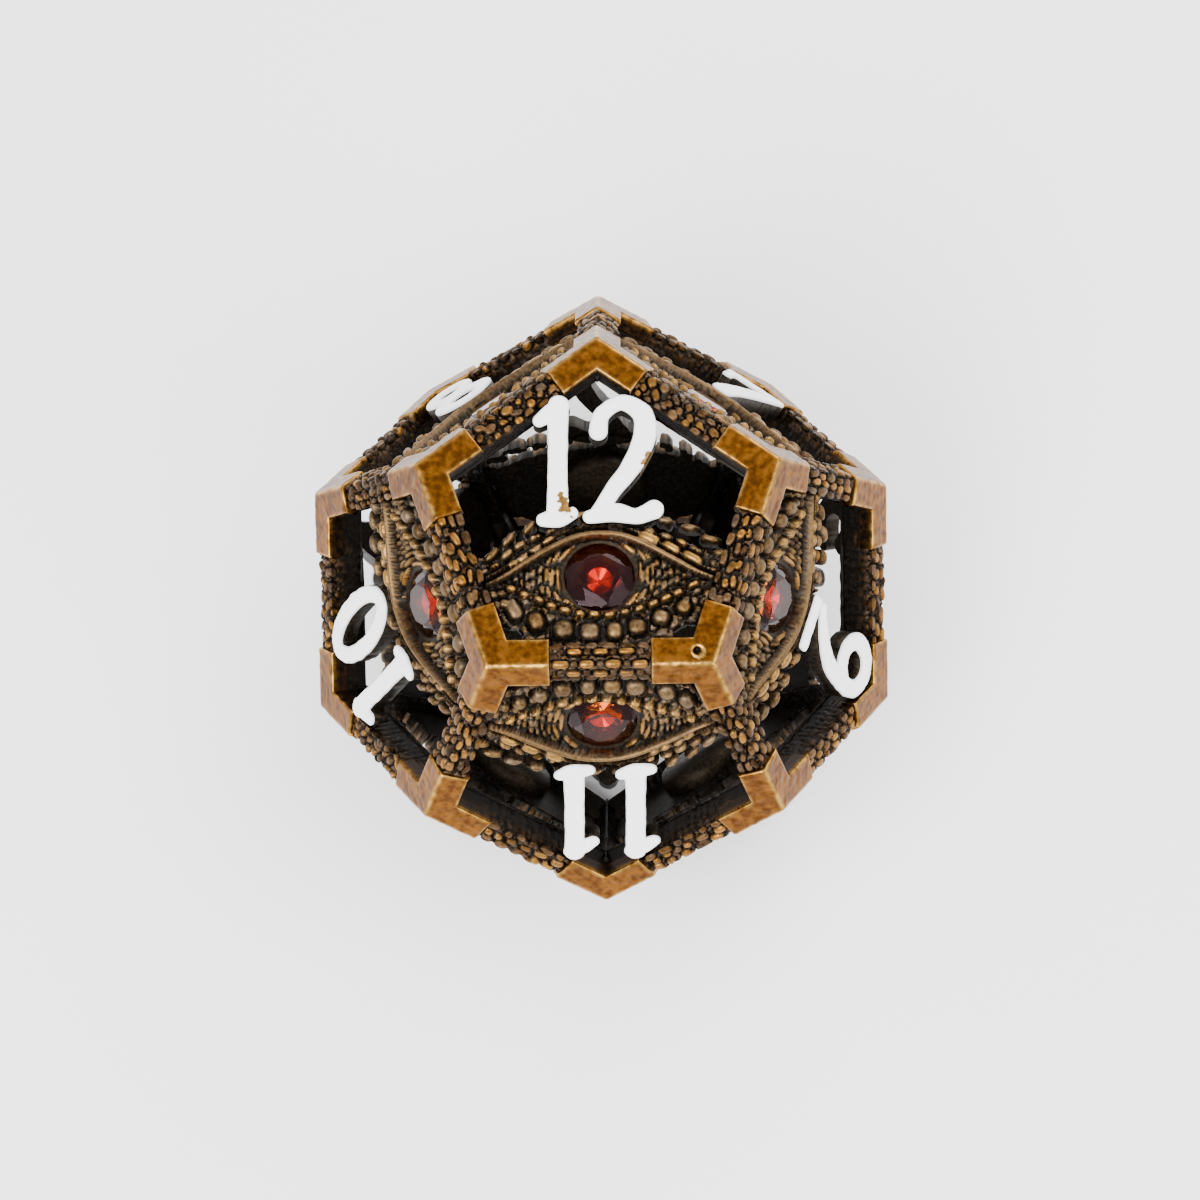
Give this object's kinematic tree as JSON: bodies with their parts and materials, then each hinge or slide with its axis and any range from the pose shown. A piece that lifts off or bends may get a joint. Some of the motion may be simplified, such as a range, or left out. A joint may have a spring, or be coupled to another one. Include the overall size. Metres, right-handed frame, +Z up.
{
  "type": "polyhedral die",
  "caption": "Hollow openwork metal die with smooth corner caps, scaled edge bars, stone-set eye reliefs and standing enamelled numerals in pentagonal windows.",
  "frame": {"origin": "middle of the face that the die rests on, which is face 1", "axes": "+Z up through face 12; +Y is the way the numeral on face 12 points up; +X to its right"},
  "size_m": [0.024, 0.0254, 0.0205],
  "materials": {
    "aged_bronze": "dark antique bronze with worn golden scale tips",
    "copper_caps": "smooth burnished copper with pale worn ridges",
    "eye_bronze": "dark antique bronze relief with golden highlights",
    "red_stone": "clear faceted red glass with a foiled back",
    "white_enamel": "white hard enamel, glossy, with a few chips"
  },
  "bodies": {
    "root": {"cage_upper": "aged_bronze", "cage_lower": "aged_bronze", "corner_cap_01": "copper_caps", "corner_cap_02": "copper_caps", "corner_cap_03": "copper_caps", "corner_cap_04": "copper_caps", "corner_cap_05": "copper_caps", "corner_cap_06": "copper_caps", "corner_cap_07": "copper_caps", "corner_cap_08": "copper_caps", "corner_cap_09": "copper_caps", "corner_cap_10": "copper_caps", "corner_cap_11": "copper_caps", "corner_cap_12": "copper_caps", "corner_cap_13": "copper_caps", "corner_cap_14": "copper_caps", "corner_cap_15": "copper_caps", "corner_cap_16": "copper_caps", "corner_cap_17": "copper_caps", "corner_cap_18": "copper_caps", "corner_cap_19": "copper_caps", "corner_cap_20": "copper_caps", "eye_panel_01": "eye_bronze", "eye_panel_02": "eye_bronze", "eye_panel_03": "eye_bronze", "eye_panel_04": "eye_bronze", "eye_panel_05": "eye_bronze", "eye_panel_06": "eye_bronze", "eye_panel_07": "eye_bronze", "eye_panel_08": "eye_bronze", "eye_panel_09": "eye_bronze", "eye_panel_10": "eye_bronze", "eye_panel_11": "eye_bronze", "eye_panel_12": "eye_bronze", "stone_01": "red_stone", "stone_02": "red_stone", "stone_03": "red_stone", "stone_04": "red_stone", "stone_05": "red_stone", "stone_06": "red_stone", "stone_07": "red_stone", "stone_08": "red_stone", "stone_09": "red_stone", "stone_10": "red_stone", "stone_11": "red_stone", "stone_12": "red_stone", "enamel_01": "white_enamel", "enamel_02": "white_enamel", "enamel_03": "white_enamel", "enamel_04": "white_enamel", "enamel_05": "white_enamel", "enamel_06": "white_enamel", "enamel_07": "white_enamel", "enamel_08": "white_enamel", "enamel_09": "white_enamel", "enamel_10": "white_enamel", "enamel_11": "white_enamel", "enamel_12": "white_enamel"}
  },
  "joints": []
}
